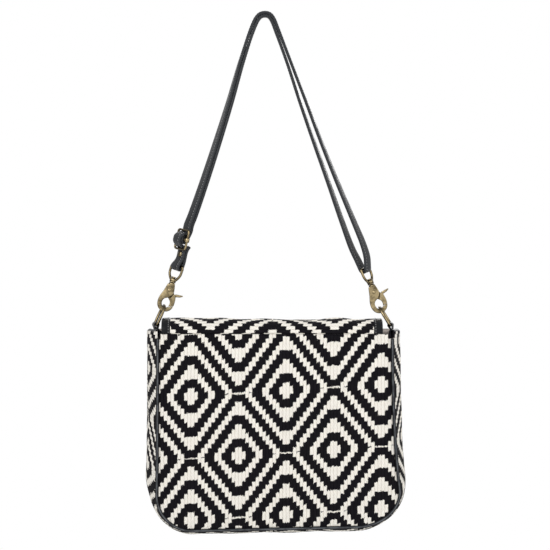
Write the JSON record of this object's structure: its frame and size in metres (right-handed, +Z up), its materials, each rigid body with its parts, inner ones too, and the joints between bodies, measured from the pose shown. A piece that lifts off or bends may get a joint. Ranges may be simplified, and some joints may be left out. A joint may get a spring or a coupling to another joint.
{
  "type": "flap-top shoulder bag",
  "caption": "Flap-top shoulder bag of woven cotton in stepped diamonds with leather piping, hanging by a leather strap on swivel trigger clasps and D-rings.",
  "frame": {"origin": "underside of the strap's crown, where a peg or a hand holds it", "axes": "+Z up along the hang, +X to the right of someone facing the bag's plain back, +Y through the bag from its plain back to its flap side"},
  "size_m": [0.2818, 0.0831, 0.5686],
  "materials": {
    "woven_cotton": "black and cream ribbed weave",
    "black_leather": "smooth, semi-matt",
    "lining_cloth": "plain twill",
    "antique_brass": "antiqued, satin",
    "nickel": "satin"
  },
  "bodies": {
    "bag": {"back_panel": "woven_cotton", "front_panel": "woven_cotton", "gusset": "woven_cotton", "piping_back": "black_leather", "piping_front": "black_leather", "gusset_binding_left": "black_leather", "gusset_binding_right": "black_leather", "lining": "lining_cloth", "flap": "woven_cotton", "flap_binding": "black_leather", "snap_socket": "nickel", "snap_stud": "nickel", "clasp_bail_left": "antique_brass", "ring_tab_left": "black_leather", "clasp_bail_right": "antique_brass", "ring_tab_right": "black_leather", "slider_frame": "antique_brass", "slider_bar": "antique_brass", "strap_rivet": "antique_brass", "strap": "black_leather"},
    "ring_left": {"d_ring_left": "antique_brass"},
    "ring_right": {"d_ring_right": "antique_brass"},
    "clasp_left": {"clasp_hook_left": "antique_brass", "clasp_pin_left": "antique_brass"},
    "clasp_right": {"clasp_hook_right": "antique_brass", "clasp_pin_right": "antique_brass"},
    "gate_left": {"clasp_gate_left": "antique_brass"},
    "gate_right": {"clasp_gate_right": "antique_brass"}
  },
  "joints": [
    {"name": "ring_left_tilt", "type": "hinge", "parent": "bag", "child": "ring_left", "pos_m": [-0.11922, 0, -0.33522], "axis": [-0.184, 0.9829, 0], "range_deg": [-0.8, 0.8]},
    {"name": "ring_right_tilt", "type": "hinge", "parent": "bag", "child": "ring_right", "pos_m": [0.13691, 0, -0.3358], "axis": [0.1184, 0.993, 0], "range_deg": [-0.3, 1.5]},
    {"name": "clasp_left_swivel", "type": "hinge", "parent": "bag", "child": "clasp_left", "pos_m": [-0.1015, 0, -0.2898], "axis": [0.3057, 0, 0.9521], "range_deg": [-9, 12]},
    {"name": "clasp_right_swivel", "type": "hinge", "parent": "bag", "child": "clasp_right", "pos_m": [0.1159, 0, -0.292], "axis": [-0.3665, 0, 0.9304], "range_deg": [-15, 4]},
    {"name": "gate_left_open", "type": "hinge", "parent": "clasp_left", "child": "gate_left", "pos_m": [-0.10439, 0, -0.29749], "axis": [0, 1, 0], "range_deg": [0, 5], "stiffness_Nm_per_rad": 0.04, "springref_deg": -20.05},
    {"name": "gate_right_open", "type": "hinge", "parent": "clasp_right", "child": "gate_right", "pos_m": [0.11853, 0, -0.29978], "axis": [0, 1, 0], "range_deg": [0, 5], "stiffness_Nm_per_rad": 0.04, "springref_deg": -20.05}
  ]
}
